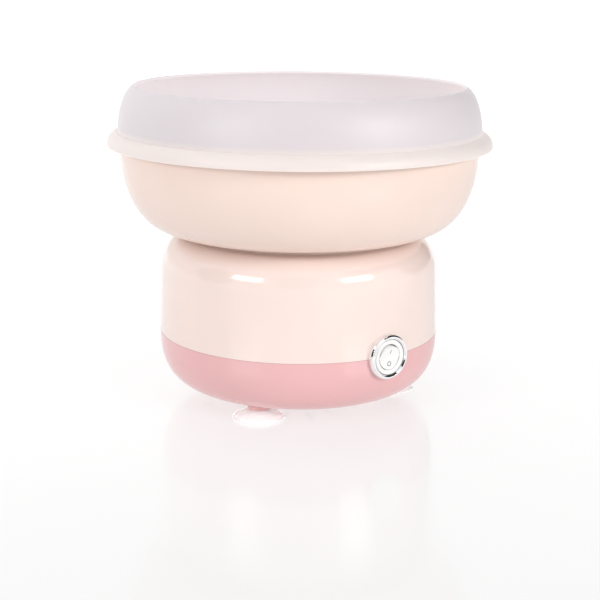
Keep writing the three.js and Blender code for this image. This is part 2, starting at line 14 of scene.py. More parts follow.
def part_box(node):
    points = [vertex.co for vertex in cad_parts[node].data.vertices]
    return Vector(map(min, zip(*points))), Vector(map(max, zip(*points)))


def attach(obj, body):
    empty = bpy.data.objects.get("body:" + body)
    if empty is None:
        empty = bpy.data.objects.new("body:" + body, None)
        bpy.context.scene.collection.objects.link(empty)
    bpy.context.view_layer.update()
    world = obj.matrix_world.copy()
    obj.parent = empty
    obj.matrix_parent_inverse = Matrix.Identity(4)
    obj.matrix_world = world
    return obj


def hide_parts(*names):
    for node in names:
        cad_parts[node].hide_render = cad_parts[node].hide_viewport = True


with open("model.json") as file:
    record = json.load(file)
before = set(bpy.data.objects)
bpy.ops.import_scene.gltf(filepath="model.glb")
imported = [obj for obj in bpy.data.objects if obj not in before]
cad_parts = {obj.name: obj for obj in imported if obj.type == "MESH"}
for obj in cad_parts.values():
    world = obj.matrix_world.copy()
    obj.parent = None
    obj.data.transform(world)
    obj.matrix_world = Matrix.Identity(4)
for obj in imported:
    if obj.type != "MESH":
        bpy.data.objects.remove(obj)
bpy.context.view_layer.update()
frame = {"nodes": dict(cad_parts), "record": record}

MM = 0.001
FINE = 192  # facets round a large shell
MEDIUM = 96  # facets round a hand-sized piece
SMALL = 40  # facets round a screw or a stud
SHARP = math.radians(32)


# ---------- the frame's own sizes, in millimetres ----------
def extent(node):
    """A turned node's outer radius, lowest z and highest z."""
    low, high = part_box(node)
    return (high.x - low.x) / 2 / MM, low.z / MM, high.z / MM


def centre(node):
    low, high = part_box(node)
    return (low + high) / 2 / MM


SEAM_RADIUS, SEAM_Z, DECK_Z = extent("upper_housing")
BODY_RADIUS, POST_FOOT_Z, _ = extent("lower_housing")
GUARD_RADIUS, FLANGE_Z, GUARD_TOP_Z = extent("splash_guard")
_, BOWL_BASE_Z, BOWL_RIM_Z = extent("bowl")
TRAY_RADIUS, _, TRAY_TOP_Z = extent("heater_tray")
HEAD_RADIUS, HEAD_FLOOR_Z, _ = extent("floss_head_dish")
CUP_RADIUS, _, STEM_TOP_Z = extent("suction_foot_back")
FEET = {side: centre(f"suction_foot_{side}") for side in ("right", "back", "left")}

FLOOR_Z = 8.8  # underside of the lower housing
WALL = 2.4
NECK_RADIUS = 79
WELL_RADIUS = 47.5
SWITCH = Matrix.Translation((0, -BODY_RADIUS * MM, SEAM_Z * MM)) @ Matrix.Rotation(math.pi / 2, 4, "X")
INLET_Z = centre("cable_gland").z


# ---------- outlines ----------
def quarter(r0, z0, r1, z1, fullness, steps=24):
    """A quarter superellipse from (r1, z1), where it runs along Z, to (r0, z0), where it runs along R."""
    points = []
    for i in range(steps + 1):
        angle = i / steps * math.pi / 2
        along = max(math.cos(angle), 0) ** (2 / fullness)
        rise = math.sin(angle) ** (2 / fullness)
        points.append((r0 + (r1 - r0) * along, z1 + (z0 - z1) * rise))
    return points


def soft(corners, steps=5):
    """A closed outline whose corners (r, z, radius) are rounded; a corner (r, z) stays as it is."""
    points = []
    for i, corner in enumerate(corners):
        here = Vector(corner[:2])
        if len(corner) == 2:
            points.append(tuple(here))
            continue
        before = Vector(corners[i - 1][:2]) - here
        after = Vector(corners[(i + 1) % len(corners)][:2]) - here
        half = before.angle(after) / 2
        reach = min(corner[2] / math.tan(half), before.length * 0.49, after.length * 0.49)
        radius = reach * math.tan(half)
        middle = here + (before.normalized() + after.normalized()).normalized() * radius / math.sin(half)
        start = here + before.normalized() * reach - middle
        end = here + after.normalized() * reach - middle
        sweep = start.angle_signed(end)
        for k in range(steps + 1):
            points.append(tuple(middle + Matrix.Rotation(-sweep * k / steps, 2) @ start))
    return points


# ---------- meshes ----------
def finish_mesh(name, bm, matrix=None):
    """A scene object from a bmesh, with its faces out and its crisp edges kept."""
    bmesh.ops.remove_doubles(bm, verts=bm.verts, dist=1e-7)
    bmesh.ops.recalc_face_normals(bm, faces=bm.faces)
    mesh = bpy.data.meshes.new(name)
    bm.to_mesh(mesh)
    bm.free()
    if matrix is not None:
        mesh.transform(matrix)
    piece = bpy.data.objects.new(name, mesh)
    bpy.context.scene.collection.objects.link(piece)
    shade(piece)
    return piece


def shade(piece, angle=SHARP):
    piece.data.polygons.foreach_set("use_smooth", [True] * len(piece.data.polygons))
    piece.data.set_sharp_from_angle(angle=angle)


def turned(name, outline, facets=MEDIUM, matrix=None):
    """A closed (r, z) outline in millimetres, turned about Z."""
    bm = bmesh.new()
    rings = []
    for r, z in outline:
        count = 1 if r < 1e-4 else facets
        rings.append([
            bm.verts.new((r * MM * math.cos(a), r * MM * math.sin(a), z * MM))
            for a in (2 * math.pi * k / facets for k in range(count))])
    for i, ring in enumerate(rings):
        other = rings[(i + 1) % len(rings)]
        for k in range(facets):
            nxt = (k + 1) % facets
            corners = [
                ring[k % len(ring)], ring[nxt % len(ring)],
                other[nxt % len(other)], other[k % len(other)],
            ]
            corners = list(dict.fromkeys(corners))
            if len(corners) > 2:
                bm.faces.new(corners)
    return finish_mesh(name, bm, matrix)


def block(name, low, high, round_by=0.0, matrix=None):
    """A box between two corners in millimetres, with its edges rounded."""
    bm = bmesh.new()
    bmesh.ops.create_cube(bm, size=1)
    size = [(high[k] - low[k]) * MM for k in range(3)]
    middle = [(high[k] + low[k]) / 2 * MM for k in range(3)]
    bmesh.ops.transform(bm, matrix=Matrix.Translation(middle) @ Matrix.Diagonal((*size, 1)), verts=bm.verts)
    if round_by:
        bmesh.ops.bevel(bm, geom=bm.edges[:], offset=round_by * MM, segments=4, profile=0.5, affect="EDGES")
    return finish_mesh(name, bm, matrix)


def boolean(piece, tools, operation="DIFFERENCE"):
    """Joins the tools to the piece or cuts them out of it, and removes them."""
    for tool in tools:
        step = piece.modifiers.new("boolean", "BOOLEAN")
        step.object = tool
        step.operation = operation
        step.solver = "EXACT"
    graph = bpy.context.evaluated_depsgraph_get()
    made = bpy.data.meshes.new_from_object(piece.evaluated_get(graph))
    piece.modifiers.clear()
    piece.data = made
    for tool in tools:
        bpy.data.objects.remove(tool)
    shade(piece)
    return piece


def place(point, degrees=0.0):
    """Moves a shape made at the origin to a point in millimetres, turned about Z."""
    return Matrix.Translation(Vector(point) * MM) @ Matrix.Rotation(math.radians(degrees), 4, "Z")


def polar(radius, degrees, z=0.0):
    angle = math.radians(degrees)
    return (radius * math.sin(angle), -radius * math.cos(angle), z)


def stud(radius, z0, z1, matrix, facets=SMALL):
    return turned("tool", [(0, z0), (radius, z0), (radius, z1), (0, z1)], facets, matrix)


# ---------- materials ----------
def material(name):
    made = bpy.data.materials.new(name)
    made.use_nodes = True
    nodes = made.node_tree.nodes
    return made, nodes, made.node_tree.links, nodes["Principled BSDF"]


def noise(nodes, links, scale, detail=4.0, roughness=0.5, stretch=(1, 1, 1)):
    """Noise over the object's own coordinates, so it rides with the piece."""
    coords = nodes.new("ShaderNodeTexCoord")
    mapping = nodes.new("ShaderNodeMapping")
    texture = nodes.new("ShaderNodeTexNoise")
    mapping.inputs["Scale"].default_value = stretch
    texture.inputs["Scale"].default_value = scale
    texture.inputs["Detail"].default_value = detail
    texture.inputs["Roughness"].default_value = roughness
    links.new(coords.outputs["Object"], mapping.inputs["Vector"])
    links.new(mapping.outputs["Vector"], texture.inputs["Vector"])
    return texture.outputs["Fac"]


def tint(nodes, links, shader, factor, dark, light):
    """Varies the base colour between two close shades."""
    ramp = nodes.new("ShaderNodeValToRGB")
    ramp.color_ramp.elements[0].position = 0.3
    ramp.color_ramp.elements[1].position = 0.7
    ramp.color_ramp.elements[0].color = (*dark, 1)
    ramp.color_ramp.elements[1].color = (*light, 1)
    links.new(factor, ramp.inputs["Fac"])
    links.new(ramp.outputs["Color"], shader.inputs["Base Color"])


def vary(nodes, links, shader, socket, factor, low, high):
    """One number of the shader, drifting between two values."""
    spread = nodes.new("ShaderNodeMapRange")
    spread.inputs["To Min"].default_value = low
    spread.inputs["To Max"].default_value = high
    links.new(factor, spread.inputs["Value"])
    links.new(spread.outputs["Result"], shader.inputs[socket])


def bump(nodes, links, shader, height, strength, distance):
    """Fine relief on the surface."""
    made = nodes.new("ShaderNodeBump")
    made.inputs["Strength"].default_value = strength
    made.inputs["Distance"].default_value = distance
    links.new(height, made.inputs["Height"])
    links.new(made.outputs["Normal"], shader.inputs["Normal"])


def moulded(name, colour, roughness, spread=0.02, grain=0.05, coat=0.0, subsurface=0.0):
    """Moulded plastic: faint flow marks in the colour and gloss, and a very fine surface grain."""
    made, nodes, links, shader = material(name)
    cloudy = noise(nodes, links, 14, 3)
    dark = [c * (1 - spread) for c in colour]
    light = [min(1, c * (1 + spread)) for c in colour]
    tint(nodes, links, shader, cloudy, dark, light)
    vary(nodes, links, shader, "Roughness", noise(nodes, links, 60, 5), roughness * 0.85, roughness * 1.15)
    bump(nodes, links, shader, noise(nodes, links, 900, 3), grain, 0.0002)
    shader.inputs["IOR"].default_value = 1.5
    shader.inputs["Coat Weight"].default_value = coat
    shader.inputs["Coat Roughness"].default_value = 0.05
    if subsurface:
        shader.inputs["Subsurface Weight"].default_value = subsurface
        shader.inputs["Subsurface Radius"].default_value = (1.0, 0.8, 0.7)
        shader.inputs["Subsurface Scale"].default_value = 0.002
    return made


def metal(name, colour, roughness, scale=300, stretch=(1, 1, 1), grain=0.1, spread=0.06):
    """Metal with a worked surface: fine marks along one direction and slightly uneven gloss."""
    made, nodes, links, shader = material(name)
    marks = noise(nodes, links, scale, 6, 0.6, stretch)
    dark = [c * (1 - spread) for c in colour]
    light = [min(1, c * (1 + spread)) for c in colour]
    tint(nodes, links, shader, marks, dark, light)
    vary(nodes, links, shader, "Roughness", marks, roughness * 0.75, roughness * 1.3)
    bump(nodes, links, shader, marks, grain, 0.0001)
    shader.inputs["Metallic"].default_value = 1.0
    return made


def milky_plastic():
    """Frosted, milky polypropylene, with a painted warm tint over the bowl's rim where the bowl shows
    through, and a painted glow in its emission, stronger on the inside as painted backlight through the
    wall.
    """
    # The warm shade low on the guard is a painted tint, the bowl's rim seen through the frosted flange; the
    # cool shade is the guard's own colour.
    painted_bowl_tint, cool = (0.64, 0.567, 0.53), (0.533, 0.484, 0.496)
    painted_tint_below, cool_above = FLANGE_Z + 6, FLANGE_Z + 16
    # Painted glow: emission strengths that stand in for light coming through the wall, stronger on the
    # inside faces.
    painted_inside_glow, painted_outside_glow = 0.38, 0.19
    made, nodes, links, shader = material("milky_plastic")
    coords = nodes.new("ShaderNodeTexCoord")
    split = nodes.new("ShaderNodeSeparateXYZ")
    rise = nodes.new("ShaderNodeMapRange")
    rise.inputs["From Min"].default_value = painted_tint_below * MM
    rise.inputs["From Max"].default_value = cool_above * MM
    links.new(coords.outputs["Object"], split.inputs["Vector"])
    links.new(split.outputs["Z"], rise.inputs["Value"])
    # Painted see-through tint: warm near the flange, fading to the guard's own colour higher up.
    tint(nodes, links, shader, rise.outputs["Result"], painted_bowl_tint, cool)
    outward = nodes.new("ShaderNodeVectorMath")
    outward.operation = "DOT_PRODUCT"
    links.new(coords.outputs["Object"], outward.inputs[0])
    links.new(coords.outputs["Normal"], outward.inputs[1])
    # Painted glow: faces turned towards the axis emit more, as painted backlight, and outside faces emit
    # less.
    painted_glow = nodes.new("ShaderNodeMapRange")
    painted_glow.inputs["From Min"].default_value = -0.02
    painted_glow.inputs["From Max"].default_value = 0.02
    painted_glow.inputs["To Min"].default_value = painted_inside_glow
    painted_glow.inputs["To Max"].default_value = painted_outside_glow
    links.new(outward.outputs["Value"], painted_glow.inputs["Value"])
    links.new(painted_glow.outputs["Result"], shader.inputs["Emission Strength"])
    vary(nodes, links, shader, "Roughness", noise(nodes, links, 80, 4), 0.40, 0.48)
    bump(nodes, links, shader, noise(nodes, links, 1400, 2), 0.08, 0.0002)
    shader.inputs["IOR"].default_value = 1.5
    shader.inputs["Subsurface Weight"].default_value = 0.8
    # The colour of the painted glow.
    shader.inputs["Emission Color"].default_value = (0.96, 0.98, 1.04, 1)
    shader.inputs["Subsurface Radius"].default_value = (1.0, 0.9, 0.9)
    shader.inputs["Subsurface Scale"].default_value = 0.003
    return made


def clear_rubber():
    """Milky soft PVC with a slightly uneven surface, and a faint painted glow that keeps it near white."""
    made, nodes, links, shader = material("clear_rubber")
    vary(nodes, links, shader, "Roughness", noise(nodes, links, 120, 4), 0.06, 0.14)
    bump(nodes, links, shader, noise(nodes, links, 260, 3), 0.1, 0.0003)
    shader.inputs["Base Color"].default_value = (0.95, 0.94, 0.94, 1)
    shader.inputs["Transmission Weight"].default_value = 0.35
    shader.inputs["Subsurface Weight"].default_value = 0.6
    shader.inputs["Subsurface Radius"].default_value = (1.0, 0.9, 0.9)
    shader.inputs["Subsurface Scale"].default_value = 0.004
    # Painted glow: a faint emission that brightens the cups, which are no lamp.
    shader.inputs["Emission Color"].default_value = (1.0, 0.99, 0.99, 1)
    shader.inputs["Emission Strength"].default_value = 0.12
    shader.inputs["IOR"].default_value = 1.4
    return made


def board_green():
    made, nodes, links, shader = material("board_green")
    tint(nodes, links, shader, noise(nodes, links, 200, 6), (0.02, 0.09, 0.035), (0.05, 0.17, 0.07))
    vary(nodes, links, shader, "Roughness", noise(nodes, links, 90, 4), 0.3, 0.5)
    bump(nodes, links, shader, noise(nodes, links, 400, 4), 0.2, 0.0002)
    return made


MATERIALS = {
    "pink_plastic": moulded("pink_plastic", (0.79, 0.45, 0.455), 0.16, coat=0.2, subsurface=0.05),
    "cream_plastic": moulded("cream_plastic", (0.87, 0.72, 0.665), 0.14, coat=0.2, subsurface=0.05),
    "bowl_plastic": moulded("bowl_plastic", (0.86, 0.695, 0.622), 0.2, coat=0.1, subsurface=0.08),
    "milky_plastic": milky_plastic(),
    "clear_rubber": clear_rubber(),
    "chrome": metal("chrome", (0.93, 0.93, 0.94), 0.045, grain=0.01, spread=0.01),
    "white_plastic": moulded("white_plastic", (0.90, 0.895, 0.88), 0.22, coat=0.1),
    "aluminium": metal("aluminium", (0.78, 0.79, 0.80), 0.26, 220, (1, 1, 14), 0.14),
    "steel": metal("steel", (0.55, 0.56, 0.58), 0.3, 500),
    "element_steel": metal("element_steel", (0.16, 0.13, 0.12), 0.42, 180, grain=0.3, spread=0.25),
    "brass": metal("brass", (0.70, 0.50, 0.20), 0.26, 400),
    "copper": metal("copper", (0.62, 0.28, 0.13), 0.3, 700),
    "iron": metal("iron", (0.09, 0.09, 0.10), 0.5, 260, grain=0.3, spread=0.2),
    "ceramic": moulded("ceramic", (0.82, 0.80, 0.74), 0.55, 0.05, 0.25),
    "black_rubber": moulded("black_rubber", (0.018, 0.018, 0.02), 0.6, 0.2, 0.3),
    "black_plastic": moulded("black_plastic", (0.02, 0.02, 0.022), 0.42, 0.2, 0.2),
    "board_green": board_green(),
    "sleeving": moulded("sleeving", (0.6, 0.57, 0.52), 0.7, 0.15, 0.5),
}
MARK_GREY = moulded("mark_grey", (0.22, 0.22, 0.22), 0.5, 0.05, 0.05)


def dress(piece, slot, body, *nodes, look=None):
    """Gives a piece its material and its body, and hides the CAD nodes it stands for."""
    piece.data.materials.clear()
    piece.data.materials.append(look or MATERIALS[slot])
    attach(piece, body)
    if nodes:
        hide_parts(*nodes)
    return piece


# ---------- camera, floor and light ----------
CAMERA_AZIMUTH = math.radians(-37)
CAMERA_DISTANCE = 0.9628
CAMERA_HEIGHT = 0.3093
CAMERA_SIDE = 0.0011
CAMERA_PITCH = math.radians(14.07)
CAMERA_ROLL = math.radians(0.53)

SOFTBOX_ELEVATION = 20
SOFTBOX_DISTANCE = 2.2
SOFTBOX_SIZE = (0.95, 0.42)

TENT_LEVELS = ((0.0, 1.05), (0.2, 1.22), (0.5, 1.22), (0.85, 0.88), (1.0, 0.74))
OVERHEAD_LEVEL = 0.85
CARD_LEVEL = 0.04
# Azimuth from the camera, elevation, reach and soft edge, in degrees.
DARK_CARDS = ((-74, 14, 17, 2), (128, 25, 30, 3), (0, 20, 16, 3), (80, 50, 22, 3))


def add_camera():
    """The photo's camera, solved from the rims and the seam."""
    data = bpy.data.cameras.new("camera")
    data.lens = 82.0
    data.sensor_width = 36.0
    camera = bpy.data.objects.new("camera", data)
    bpy.context.scene.collection.objects.link(camera)
    turn = Matrix.Rotation(CAMERA_AZIMUTH, 4, "Z")
    spot = Matrix.Translation((CAMERA_SIDE, -CAMERA_DISTANCE, CAMERA_HEIGHT))
    tilt = Matrix.Rotation(math.pi / 2 - CAMERA_PITCH, 4, "X")
    camera.matrix_world = turn @ spot @ tilt @ Matrix.Rotation(CAMERA_ROLL, 4, "Z")
    bpy.context.scene.camera = camera


def add_floor():
    """A pale, glossy table that runs out of sight."""
    bm = bmesh.new()
    bmesh.ops.create_circle(bm, cap_ends=True, segments=64, radius=14)
    floor = finish_mesh("floor", bm)
    floor.location.z = -0.0002
    made, nodes, links, shader = material("floor")
    tint(nodes, links, shader, noise(nodes, links, 3, 2), (0.24, 0.24, 0.24), (0.25, 0.25, 0.25))
    shader.inputs["Roughness"].default_value = 0.14
    shader.inputs["IOR"].default_value = 1.45
    shader.inputs["Specular IOR Level"].default_value = 0.35
    shader.inputs["Emission Color"].default_value = (1, 1, 1, 1)
    shader.inputs["Emission Strength"].default_value = 0.64
    floor.data.materials.append(made)


def towards(azimuth, elevation):
    """A unit vector towards a place in the studio; azimuth is counted from the camera."""
    a = CAMERA_AZIMUTH + math.radians(azimuth)
    e = math.radians(elevation)
    return Vector((math.sin(a) * math.cos(e), -math.cos(a) * math.cos(e), math.sin(e)))


def add_softbox(name, azimuth, radiance):
    """A wide, low softbox that faces the machine."""
    data = bpy.data.lights.new(name, "AREA")
    data.shape = "RECTANGLE"
    data.size, data.size_y = SOFTBOX_SIZE
    data.energy = radiance * math.pi * SOFTBOX_SIZE[0] * SOFTBOX_SIZE[1]
    light = bpy.data.objects.new(name, data)
    bpy.context.scene.collection.objects.link(light)
    away = towards(azimuth, SOFTBOX_ELEVATION)
    light.location = Vector((0, 0, 0.12)) + away * SOFTBOX_DISTANCE
    light.rotation_mode = "QUATERNION"
    light.rotation_quaternion = away.to_track_quat("Z", "Y")


def tent_colour(nodes, links, direction):
    """The tent's brightness, from behind the machine to the camera's side."""
    forward = nodes.new("ShaderNodeVectorMath")
    forward.operation = "DOT_PRODUCT"
    forward.inputs[1].default_value = towards(0, 0)
    ramp = nodes.new("ShaderNodeValToRGB")
    while len(ramp.color_ramp.elements) < len(TENT_LEVELS):
        ramp.color_ramp.elements.new(0.5)
    for element, (position, level) in zip(ramp.color_ramp.elements, TENT_LEVELS):
        element.position = position
        element.color = (level, level, level, 1)
    links.new(direction, forward.inputs[0])
    links.new(forward.outputs["Value"], ramp.inputs["Fac"])
    return ramp.outputs["Color"]


def dark_card(nodes, links, direction, strength, azimuth, elevation, reach, edge):
    """The strength, dimmed within a round card."""
    card = nodes.new("ShaderNodeVectorMath")
    card.operation = "DOT_PRODUCT"
    card.inputs[1].default_value = towards(azimuth, elevation)
    dim = nodes.new("ShaderNodeMapRange")
    dim.inputs["From Min"].default_value = math.cos(math.radians(reach + edge))
    dim.inputs["From Max"].default_value = math.cos(math.radians(reach))
    dim.inputs["To Min"].default_value = 1.0
    dim.inputs["To Max"].default_value = CARD_LEVEL
    both = nodes.new("ShaderNodeMath")
    both.operation = "MULTIPLY"
    links.new(direction, card.inputs[0])
    links.new(card.outputs["Value"], dim.inputs["Value"])
    links.new(strength, both.inputs[0])
    links.new(dim.outputs["Result"], both.inputs[1])
    return both.outputs["Value"]


def add_world():
    """A white tent, a little darker overhead, with the dark cards that the chrome mirrors."""
    world = bpy.data.worlds.new("studio")
    bpy.context.scene.world = world
    world.use_nodes = True
    nodes, links = world.node_tree.nodes, world.node_tree.links
    direction = nodes.new("ShaderNodeTexCoord").outputs["Generated"]
    height = nodes.new("ShaderNodeSeparateXYZ")
    links.new(direction, height.inputs["Vector"])
    overhead = nodes.new("ShaderNodeMapRange")
    overhead.inputs["From Min"].default_value = 0.3
    overhead.inputs["To Min"].default_value = 1.0
    overhead.inputs["To Max"].default_value = OVERHEAD_LEVEL
    links.new(height.outputs["Z"], overhead.inputs["Value"])
    strength = overhead.outputs["Result"]
    for card in DARK_CARDS:
        strength = dark_card(nodes, links, direction, strength, *card)
    links.new(tent_colour(nodes, links, direction), nodes["Background"].inputs["Color"])
    links.new(strength, nodes["Background"].inputs["Strength"])


add_camera()
add_floor()
add_world()
add_softbox("softbox_left", -43, 9.0)
add_softbox("softbox_right", 50, 13.5)
bpy.context.scene.view_settings.view_transform = "Standard"


# ---------- housing ----------
def switch_hole():
    """The round opening for the switch, across the seam."""
    return turned("tool", [(0, -14), (11.6, -14), (11.6, 8), (0, 8)], MEDIUM, SWITCH)


def upper_housing():
    """The cream shell: drafted wall, round shoulder, neck, and the deck that the bowl stands on."""
    shoulder_radius, shoulder_z, neck_z, fullness = 98.4, 94.7, 118.2, 2.1
    shoulder = quarter(NECK_RADIUS + 1.1, neck_z, shoulder_radius, shoulder_z, fullness)
    inside = quarter(NECK_RADIUS - 2, neck_z - 2, shoulder_radius - WALL, shoulder_z, fullness)
    low = SEAM_Z - 0.1
    shell = turned("cream_housing", soft([
        (SEAM_RADIUS, low, 0.1), *shoulder,
        (NECK_RADIUS + 0.25, neck_z + 0.3), (NECK_RADIUS, neck_z + 1), (NECK_RADIUS, DECK_Z, 0.8),
        (WELL_RADIUS, DECK_Z, 0.6), (WELL_RADIUS, DECK_Z - WALL, 0.4),
        (NECK_RADIUS - WALL, DECK_Z - WALL, 1.2), *reversed(inside), (SEAM_RADIUS - WALL, low, 0.25),
    ]), FINE)
    boolean(shell, [switch_hole()])
    return dress(shell, "cream_plastic", "base", "upper_housing")


def lower_housing():
    """The pink cup: rolled-under side, flat floor with vents, foot posts, screw wells and the inlet."""
    floor_radius, fullness = 62, 2.6
    top = SEAM_Z - 0.2
    side = quarter(floor_radius, FLOOR_Z, BODY_RADIUS, top, fullness)
    inside = quarter(floor_radius - 1.5, FLOOR_Z + WALL, BODY_RADIUS - 2.6, top - 7, fullness)
    lip_outer, lip_inner = BODY_RADIUS - 3, BODY_RADIUS - 4.7
    outline = [
        (0, FLOOR_Z + WALL), *reversed(inside), (lip_inner, SEAM_Z - 4), (lip_inner, SEAM_Z + 4, 0.4),
        (lip_outer, SEAM_Z + 4, 0.4), (lip_outer, top), *side,
        (54, FLOOR_Z), (22, FLOOR_Z), (0, FLOOR_Z),
    ]
    shell = turned("pink_housing", soft(outline), FINE)
    posts = []
    for foot in FEET.values():
        posts.append(turned("tool", soft([
            (0, POST_FOOT_Z), (8, POST_FOOT_Z, 0.5), (8, 9.4), (9.4, 10.4), (0, 10.4),
        ]), MEDIUM, place((foot.x, foot.y, 0))))
    boolean(shell, posts, "UNION")
    cuts = [switch_hole()]
    for foot in FEET.values():
        cuts.append(stud(4.2, 3, 14, place((foot.x, foot.y, 0))))
    for index in (1, 2, 3):
        screw = centre(f"housing_screw_{index}")
        cuts.append(stud(4.3, FLOOR_Z - 2, FLOOR_Z + WALL - 0.8, place((screw.x, screw.y, 0))))
    for index in range(12):
        turn = Matrix.Rotation(index / 12 * 2 * math.pi + 0.13, 4, "Z")
        cuts.append(block("tool", (-1.8, 26, FLOOR_Z - 1), (1.8, 46, FLOOR_Z + WALL + 1), 1.5, turn))
    inlet = Matrix.Translation((0, BODY_RADIUS * MM, INLET_Z * MM)) @ Matrix.Rotation(-math.pi / 2, 4, "X")
    cuts.append(stud(6.2, -12, 10, inlet))
    boolean(shell, cuts)
    return dress(shell, "pink_plastic", "base", "lower_housing")


def suction_feet():
    """Clear cups whose stems snap into the posts."""
    for side, at in FEET.items():
        cup = turned(f"clear_cup_{side}", soft([
            (0, 4.0), (4, 3.7), (10, 2.4), (CUP_RADIUS - 3, 0.0, 0.3), (CUP_RADIUS, 0.0, 0.3),
            (CUP_RADIUS, 0.9, 0.4), (16.6, 2.4, 2), (12.4, 4.4, 3), (8.6, 6.1, 0.6),
            (3.5, 6.2, 0.3), (3.5, STEM_TOP_Z - 3), (5.0, STEM_TOP_Z - 2.6, 0.2),
            (3.2, STEM_TOP_Z, 0.6), (0, STEM_TOP_Z),
        ]), MEDIUM, place((at.x, at.y, 0)))
        dress(cup, "clear_rubber", "base", f"suction_foot_{side}")


def cross_screw(name, head_radius, head_height, shank_radius, length, matrix):
    """A pan-head screw with a cross recess; its head's face is at z = 0 and its shank points up."""
    screw = turned(name, soft([
        (0, 0.0), (head_radius * 0.55, 0.05), (head_radius * 0.9, head_height * 0.35, 0.5),
        (head_radius, head_height, 0.15), (shank_radius, head_height),
        (shank_radius, length - shank_radius), (0, length),
    ]), SMALL)
    arm = head_radius * 0.52
    half = head_radius * 0.11
    depth = head_height * 0.6
    cuts = [
        block("tool", (-arm, -half, -1), (arm, half, depth)),
        block("tool", (-half, -arm, -1), (half, arm, depth)),
    ]
    boolean(screw, cuts)
    screw.data.transform(matrix)
    return screw


def screws():
    """The housing's screws up from below, and the tray's down from above."""
    flip = Matrix.Rotation(math.pi, 4, "X")
    for index in (1, 2, 3):
        node = f"housing_screw_{index}"
        low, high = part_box(node)
        at = centre(node)
        foot = place((at.x, at.y, low.z / MM), 20 * index)
        made = cross_screw(f"cross_{node}", 3.8, 2.4, 1.6, 54, foot)
        dress(made, "steel", "base", node)
        node = f"tray_screw_{index}"
        low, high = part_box(node)
        at = centre(node)
        top = place((at.x, at.y, high.z / MM), 35 * index) @ flip
        made = cross_screw(f"cross_{node}", 3, 1.2, 1.2, 11, top)
        dress(made, "steel", "base", node)


def cable_gland():
    """A rubber grommet in the back wall."""
    low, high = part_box("cable_gland")
    face = high.y / MM - 2.6
    matrix = Matrix.Translation((0, face * MM, INLET_Z * MM)) @ Matrix.Rotation(-math.pi / 2, 4, "X")
    gland = turned("inlet_grommet", soft([
        (3.8, -9, 0.3), (7.4, -9, 0.5), (7.4, -6.6, 0.4), (5.8, -6), (5.8, 0), (8, 0, 0.3), (8, 1.4, 0.7),
        (6.6, 2.6, 0.9), (3.8, 2.6, 0.5),
    ]), MEDIUM, matrix)
    dress(gland, "black_rubber", "base", "cable_gland")


# ---------- switch ----------
ROCKER_TILT = math.radians(9)
PIVOT_DEPTH = 1.1


def switch_bezel():
    """The chrome ring round the switch."""
    bezel = turned("chrome_bezel", soft([
        (12.5, -1.5), (15.6, -1.5), (15.6, 1.4, 0.1), (15.2, 2.7, 0.1), (14.3, 3.9, 0.1),
        (13.5, 3.9, 0.1), (12.5, 2.8, 0.1),
    ], 8), FINE, SWITCH)
    dress(bezel, "chrome", "base", "switch_bezel")


def switch_body():
    """The white case with its flange, hollow where the rocker sits."""
    body = turned("switch_case", soft([
        (0, -19.9), (10.8, -19.9, 0.4), (10.8, 0.6, 0.2), (12.1, 0.6, 0.3), (12.1, 2.7, 0.6),
        (11.2, 3.1, 0.8), (8.9, 2.5, 0.5), (8.8, -7.5, 0.4), (0, -7.5),
    ], 6), MEDIUM, SWITCH)
    dress(body, "white_plastic", "base", "switch_body")


def rocker_face(y):
    """Height of the level rocker's face above its pivot, across the tilt: a shallow trough."""
    return 1.15 + 1.55 * (abs(y) / 8.0) ** 1.35


def switch_rocker():
    """A round rocker with a dished face, its lower half pressed in, and its generic I and O marks."""
    tilt = SWITCH @ Matrix.Translation((0, 0, PIVOT_DEPTH * MM)) @ Matrix.Rotation(ROCKER_TILT, 4, "X")
    drum = turned("rocker_cap", soft([
        (0, -6), (6.4, -6, 0.5), (8.2, -1.2, 0.6), (8.2, 5, 0.2), (0, 5),
    ]), MEDIUM)
    bm = bmesh.new()
    steps = 32
    rows = []
    for k in range(steps + 1):
        y = -9 + 18 * k / steps
        rows.append([bm.verts.new((x * MM, y * MM, z * MM)) for x, z in
                     ((-10, rocker_face(y)), (10, rocker_face(y)), (10, 8), (-10, 8))])
    for low, high in zip(rows, rows[1:]):
        for k in range(4):
            bm.faces.new((low[k], low[(k + 1) % 4], high[(k + 1) % 4], high[k]))
    bm.faces.new(rows[0])
    bm.faces.new(rows[-1])
    boolean(drum, [finish_mesh("tool", bm)])
    across = Matrix.Rotation(math.pi / 2, 4, "Y")
    pin = turned("tool", [(0, -9.8), (1.1, -9.8), (1.1, 9.8), (0, 9.8)], SMALL, across)
    boolean(drum, [pin], "UNION")
    edge = drum.modifiers.new("edge", "BEVEL")
    edge.width = 0.35 * MM
    edge.segments = 3
    edge.limit_method = "ANGLE"
    edge.angle_limit = math.radians(40)
    drum.data.transform(tilt)
    dress(drum, "white_plastic", "rocker", "switch_rocker")

    at, height = 4.4, rocker_face(4.4) * MM
    slope = math.atan(rocker_face(at + 0.5) - rocker_face(at - 0.5))
    upper = tilt @ Matrix.Translation((0, at * MM, height)) @ Matrix.Rotation(slope, 4, "X")
    lower = tilt @ Matrix.Translation((0, -at * MM, height)) @ Matrix.Rotation(-slope, 4, "X")
    bar = block("rocker_mark_on", (-0.28, -1.6, -0.15), (0.28, 1.6, 0.06), 0.05, upper)
    rim = [(1.15, -0.15), (1.7, -0.15), (1.7, 0.06), (1.15, 0.06)]
    ring = turned("rocker_mark_off", rim, SMALL, lower)
    for mark in (bar, ring):
        dress(mark, "black_plastic", "rocker", look=MARK_GREY)


